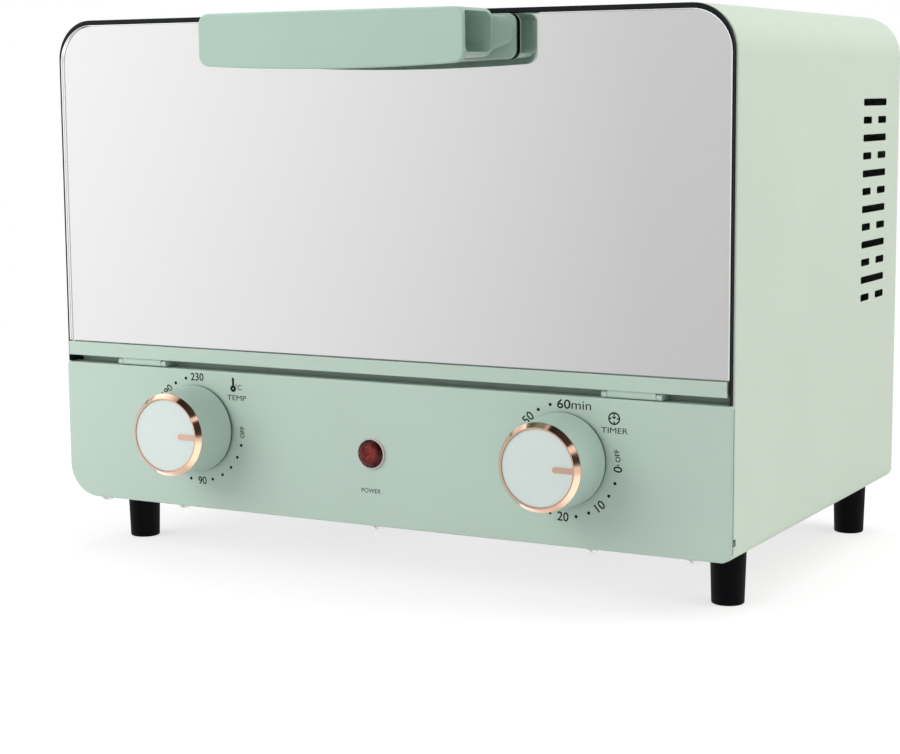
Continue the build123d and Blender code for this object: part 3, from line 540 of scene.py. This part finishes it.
def print_piece(name, mesh):
    """Gives the flat marks their thickness and lays them on the panel."""
    bmesh.ops.remove_doubles(mesh, verts=mesh.verts, dist=ink_weld)
    for _ in range(weld_rounds):
        bmesh.ops.dissolve_degenerate(mesh, dist=ink_weld, edges=mesh.edges)
    for vertex in mesh.verts:
        vertex.co.y = panel_face + ink_sunk
    raised = bmesh.ops.extrude_face_region(mesh, geom=mesh.faces[:])["geom"]
    for item in raised:
        if isinstance(item, bmesh.types.BMVert):
            item.co.y = panel_face - ink_height
    bmesh.ops.recalc_face_normals(mesh, faces=mesh.faces)
    data = bpy.data.meshes.new(name)
    mesh.to_mesh(data)
    mesh.free()
    data.materials.append(materials["ink"])
    piece = bpy.data.objects.new(name, data)
    scene.collection.objects.link(piece)
    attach(piece, "oven")


def dial_point(centre, angle, radius=scale_radius):
    a = radians(angle)
    return centre[0] + radius * cos(a), centre[1] + radius * sin(a)


def reading_turn(angle):
    """Turn of words on the scale: upright at the top and the bottom."""
    return radians(angle - 90 if sin(radians(angle)) > 0 else angle + 90)


def scale_marks(mesh, centre, marks, height):
    """Adds numbers of a height, and dots where a mark has no number."""
    for angle, text in marks:
        x, z = dial_point(centre, angle)
        if text:
            text_faces(mesh, text, x, z, height, digit_weight, reading_turn(angle))
        else:
            disc(mesh, x, z, dot_radius)


def stepped(numbers, first, step):
    """Marks of a scale with two dots between its numbers."""
    texts = []
    for number in numbers:
        texts += [number, "", ""]
    return [(first - i * step, text) for i, text in enumerate(texts[:-2])]


def scale_centre(joint):
    x, _, z = joints[joint]["pos_m"]
    return x + scale_shift.x, z + scale_shift.y


def print_temperature_scale():
    mesh = bmesh.new()
    centre = scale_centre("temperature_turn")
    off_angle = 0.0
    dots_before = 5  # the first number
    dot_step = 14.6
    first_angle = -87.0
    mark_step = 15.17
    x, z = dial_point(centre, off_angle)
    text_faces(mesh, "OFF", x, z, word_height, digit_weight, reading_turn(off_angle))
    marks = [(off_angle - (i + 1) * dot_step, "") for i in range(dots_before)]
    marks += stepped(["90", "130", "160", "190", "230"], first_angle, mark_step)
    scale_marks(mesh, centre, marks, temperature_digit)
    print_piece("temperature_scale", mesh)


def print_timer_scale():
    mesh = bmesh.new()
    centre = scale_centre("timer_turn")
    off_angle = 8.5
    first_angle = -5.0
    mark_step = 14.6
    tick_angle = -0.5
    tick_half = 0.6 * mm
    tick_width = 0.4 * mm
    number_shift = Vector((-0.72, 24.6)) * mm
    unit_shift = Vector((7.63, 24.46)) * mm
    unit_height = 3.6 * mm
    end_stretch = 1.2
    x, z = dial_point(centre, off_angle)
    text_faces(mesh, "OFF", x, z, word_height, digit_weight, radians(90 + off_angle))
    x, z = dial_point(centre, tick_angle)
    bar(mesh, (x - tick_half, z), (x + tick_half, z), tick_width)
    marks = stepped(["0", "10", "20", "30", "40", "50", "60"], first_angle, mark_step)
    scale_marks(mesh, centre, marks[:-1], timer_digit)
    number = Vector(centre) + number_shift
    text_faces(mesh, "60", number.x, number.y, timer_digit, digit_weight, stretch=end_stretch)
    unit = Vector(centre) + unit_shift
    text_faces(mesh, "min", unit.x, unit.y, unit_height, word_weight, stretch=end_stretch)
    print_piece("timer_scale", mesh)


def print_temperature_sign():
    mesh = bmesh.new()
    x, z = -75.7 * mm, 85.4 * mm
    bulb_radius = 1.6 * mm
    bulb_width = 1.25 * mm
    stem_width = 1.2 * mm
    stem_top = 4.6 * mm
    letters = Vector((3.0, 0.8)) * mm
    letter_height = 2.7 * mm
    label = Vector((1.9, -4.3)) * mm
    ring(mesh, x, z, bulb_radius, bulb_width)
    half = stem_width / 2
    foot, top = z + bulb_radius, z + stem_top
    tip = arc_points(x, top, half, start=0, end=pi)
    polygon(mesh, [(x + half, foot), *tip, (x - half, top), (x - half, foot)])
    text_faces(mesh, "°C", x + letters.x, z + letters.y, letter_height, word_weight)
    text_faces(mesh, "TEMP", x + label.x, z + label.y, label_height, word_weight, stretch=label_stretch)
    print_piece("temperature_sign", mesh)


def print_timer_sign():
    mesh = bmesh.new()
    x, z = 121.1 * mm, 84.6 * mm
    face_radius = 2.8 * mm
    line = 0.65 * mm
    tick = 0.9 * mm
    hands = (radians(125), radians(55))
    hand_reach = 1.2 * mm
    label_drop = 5.2 * mm
    label_shift = 0.2 * mm
    ring(mesh, x, z, face_radius, line)
    for quarter in range(4):
        way = Vector((cos(quarter * pi / 2), sin(quarter * pi / 2)))
        outer = Vector((x, z)) + way * face_radius
        bar(mesh, outer - way * (line + tick), outer - way * line, line)
    for angle in hands:
        way = Vector((cos(angle), sin(angle)))
        bar(mesh, (x, z), Vector((x, z)) + way * hand_reach, line)
    label = Vector((x + label_shift, z - label_drop))
    text_faces(mesh, "TIMER", label.x, label.y, label_height, word_weight, stretch=label_stretch)
    print_piece("timer_sign", mesh)


def print_lamp_label():
    mesh = bmesh.new()
    x, z = -0.4 * mm, 42.8 * mm
    text_faces(mesh, "POWER", x, z, lamp_label_height, word_weight)
    print_piece("lamp_label", mesh)


# Studio
floor_reach = 6.0
floor_white = (0.7, 0.7, 0.7)
floor_glow = 0.34  # that the camera sees on top of the lit floor
floor_near = 0.45  # where the floor starts to fade to white
floor_far = 1.1
floor_wash = 0.45  # share of plain white that the camera sees beside the oven
ambient = 0.58
warm_white = (1, 0.975, 0.935)
pink_white = (1, 0.98, 0.98)
white = (1, 1, 1)
lamps = [  # name, place, target, size, watts and colour
    ("key", (-0.9, -1.15, 0.95), (-0.1, 0, 0.13), (1.2, 0.9), 11.1, white),
    ("left", (-0.4, -0.3, 0.14), (-0.18, -0.1, 0.1), (0.3, 0.3), 0.3, pink_white),
    ("side", (1.35, 0.25, 1.2), (0.17, 0.05, 0.13), (1.0, 1.0), 10.0, warm_white),
    ("top", (0.2, 0.3, 1.9), (0, 0, 0.2), (1.5, 1.5), 14.0, white),
]
flagged = ["handle_grip", "handle_mount", "front_frame"]  # pieces that the side lamp doesn't light
sweep_tones = [  # from the left to the right
    (0.17, 1.03),
    (0.187, 0.985),
    (0.302, 0.64),
    (0.33, 0.62),
    (0.5, 0.55),
    (0.75, 1.05),
    (1.0, 1.0),
]
rise_tones = [(0.3, 1.5), (0.35, 1.2), (0.385, 0.9), (0.55, 1.04)]  # from below to above
cards = [  # the way to each card, the angles of its core and edge, and its tone
    (Vector((0.88, -0.40, 0.20)), radians(15), radians(20), 0.04),
    (Vector((0.35, -0.20, 0.91)), radians(25), radians(30), 0.04),
    (Vector((-0.62, 0.08, 0.78)), radians(16), radians(28), 1.7),
]


def product(tree, first, second):
    made = add(tree, "Math", operation="MULTIPLY")
    tree.links.new(first, made.inputs[0])
    tree.links.new(second, made.inputs[1])
    return made.outputs["Value"]


def studio_reflection(tree):
    """What glossy surfaces see: a pale sweep with dark and bright cards."""
    way = add(tree, "TexCoord").outputs["Generated"]
    axes = add(tree, "SeparateXYZ")
    tree.links.new(way, axes.inputs["Vector"])
    across = spread(tree, axes.outputs["X"], 0, 1, start=-1, end=1)
    tones = ramp(tree, across, [(where, (tone, tone, tone)) for where, tone in sweep_tones])
    rise = spread(tree, axes.outputs["Z"], 0, 1, start=-1, end=1)
    light = ramp(tree, rise, [(where, (tone, tone, tone)) for where, tone in rise_tones])
    for middle, core, edge, tone in cards:
        near = add(tree, "VectorMath", {1: middle.normalized()}, operation="DOT_PRODUCT")
        tree.links.new(way, near.inputs[0])
        card = spread(tree, near.outputs["Value"], 1, tone, start=cos(edge), end=cos(core))
        light = product(tree, light, card)
    seen = add(tree, "Background")
    tree.links.new(tones, seen.inputs["Color"])
    tree.links.new(light, seen.inputs["Strength"])
    return seen.outputs["Background"]


def add_world():
    world = bpy.data.worlds.new("studio")
    scene.world = world
    world.use_nodes = True
    tree = world.node_tree
    tree.nodes.clear()
    path = add(tree, "LightPath")
    soft = add(tree, "Background", {"Color": (1, 1, 1, 1), "Strength": ambient})
    white = add(tree, "Background", {"Color": (1, 1, 1, 1), "Strength": 1.0})
    glossy = add(tree, "MixShader")
    tree.links.new(path.outputs["Is Glossy Ray"], glossy.inputs["Fac"])
    tree.links.new(soft.outputs["Background"], glossy.inputs[1])
    tree.links.new(studio_reflection(tree), glossy.inputs[2])
    seen = add(tree, "MixShader")
    tree.links.new(path.outputs["Is Camera Ray"], seen.inputs["Fac"])
    tree.links.new(glossy.outputs["Shader"], seen.inputs[1])
    tree.links.new(white.outputs["Background"], seen.inputs[2])
    output = add(tree, "OutputWorld")
    tree.links.new(seen.outputs["Shader"], output.inputs["Surface"])


def floor_material():
    """Lit floor that fades to white for the camera, away from the oven."""
    material = bpy.data.materials.new("floor")
    material.use_nodes = True
    tree = material.node_tree
    tree.nodes.clear()
    camera_ray = add(tree, "LightPath").outputs["Is Camera Ray"]
    lit = add(tree, "BsdfDiffuse", {"Color": (*floor_white, 1)})
    glow = add(tree, "Emission", {"Color": (1, 1, 1, 1)})
    strength = add(tree, "Math", {1: floor_glow}, operation="MULTIPLY")
    tree.links.new(camera_ray, strength.inputs[0])
    tree.links.new(strength.outputs["Value"], glow.inputs["Strength"])
    near = add(tree, "AddShader")
    tree.links.new(lit.outputs["BSDF"], near.inputs[0])
    tree.links.new(glow.outputs["Emission"], near.inputs[1])
    away = add(tree, "VectorMath", operation="LENGTH")
    tree.links.new(object_point(tree), away.inputs[0])
    fade = spread(tree, away.outputs["Value"], floor_wash, 1, start=floor_near, end=floor_far)
    white = add(tree, "Emission", {"Color": (1, 1, 1, 1)})
    seen = add(tree, "MixShader")
    tree.links.new(product(tree, camera_ray, fade), seen.inputs["Fac"])
    tree.links.new(near.outputs["Shader"], seen.inputs[1])
    tree.links.new(white.outputs["Emission"], seen.inputs[2])
    output = add(tree, "OutputMaterial")
    tree.links.new(seen.outputs["Shader"], output.inputs["Surface"])
    return material


def add_floor():
    mesh = bpy.data.meshes.new("floor")
    corners = [(-1, -1), (1, -1), (1, 1), (-1, 1)]
    mesh.from_pydata([(x * floor_reach, y * floor_reach, 0) for x, y in corners], [], [(0, 1, 2, 3)])
    mesh.materials.append(floor_material())
    floor = bpy.data.objects.new("floor", mesh)
    floor.visible_glossy = False
    floor.visible_transmission = False
    scene.collection.objects.link(floor)


def add_lamp(name, place, target, size, watts, color):
    data = bpy.data.lights.new(name, "AREA")
    data.shape = "RECTANGLE"
    data.size, data.size_y = size
    data.energy = watts
    data.color = color
    lamp = bpy.data.objects.new(name, data)
    lamp.location = place
    lamp.rotation_euler = (Vector(target) - Vector(place)).to_track_quat("-Z", "Y").to_euler()
    lamp.visible_glossy = False
    lamp.visible_transmission = False
    scene.collection.objects.link(lamp)
    return lamp


def keep_off(lamp, names):
    """Keeps a lamp's light off some pieces, as a flag beside them would."""
    shaded = bpy.data.collections.new("flagged")
    lamp.light_linking.receiver_collection = shaded
    for name in names:
        shaded.objects.link(nodes[name])
    for entry in shaded.collection_objects:
        entry.light_linking.link_state = "EXCLUDE"


def add_lamps():
    made = {name: add_lamp(name, *settings) for name, *settings in lamps}
    keep_off(made["side"], flagged)


add_camera()
shade_vents()
shade_seams()
paint_skirt()
paint_nodes()
print_temperature_scale()
print_timer_scale()
print_temperature_sign()
print_timer_sign()
print_lamp_label()
add_world()
add_floor()
add_lamps()
